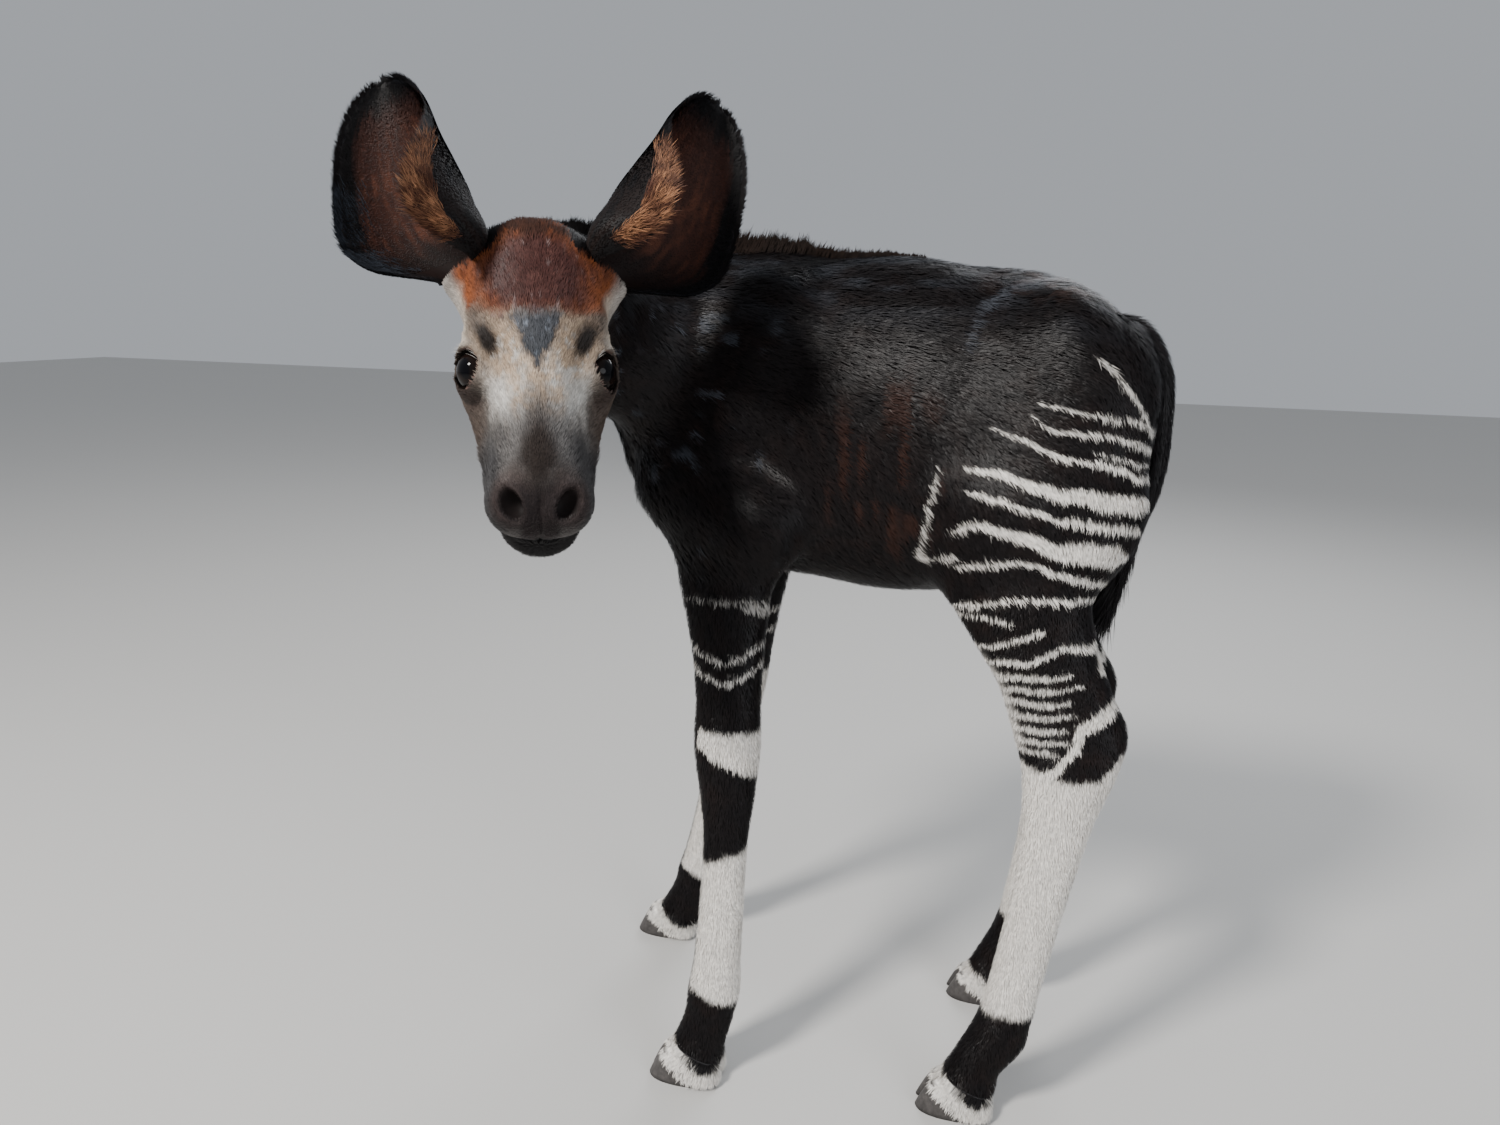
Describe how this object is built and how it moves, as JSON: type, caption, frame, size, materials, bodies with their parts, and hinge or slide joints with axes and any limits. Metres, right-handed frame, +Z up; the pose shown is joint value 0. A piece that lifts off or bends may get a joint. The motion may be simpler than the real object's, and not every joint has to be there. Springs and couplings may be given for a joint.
{
  "type": "okapi calf",
  "caption": "Newborn okapi calf standing on straight legs, head turned back to its left, with large cupped ears, short mane and tufted tail; a still, life-size model.",
  "frame": {"origin": "middle of the bounding box, on the floor under the hooves", "axes": "+Z up, the body points to -X, the calf's left side and the turned head to -Y"},
  "size_m": [0.6468, 0.4784, 0.895],
  "materials": {
    "coat": "short dense dark brown to black fur, satin sheen, pale stripes on the thighs",
    "face_coat": "short pale grey fur, dark brown forehead and muzzle",
    "leg_coat": "short cream fur with black bands",
    "ear_coat": "black fur outside, reddish brown inside",
    "horn": "smooth grey-brown horn",
    "eye": "wet black"
  },
  "bodies": {
    "root": {"torso": "coat", "neck": "coat", "tail": "coat", "head": "face_coat", "ear_left": "ear_coat", "ear_right": "ear_coat", "eye_left": "eye", "eye_right": "eye", "leg_fore_left": "leg_coat", "leg_fore_right": "leg_coat", "leg_hind_left": "leg_coat", "leg_hind_right": "leg_coat", "hoof_fore_left_outer": "horn", "hoof_fore_left_inner": "horn", "hoof_fore_right_outer": "horn", "hoof_fore_right_inner": "horn", "hoof_hind_left_outer": "horn", "hoof_hind_left_inner": "horn", "hoof_hind_right_outer": "horn", "hoof_hind_right_inner": "horn"}
  },
  "joints": []
}
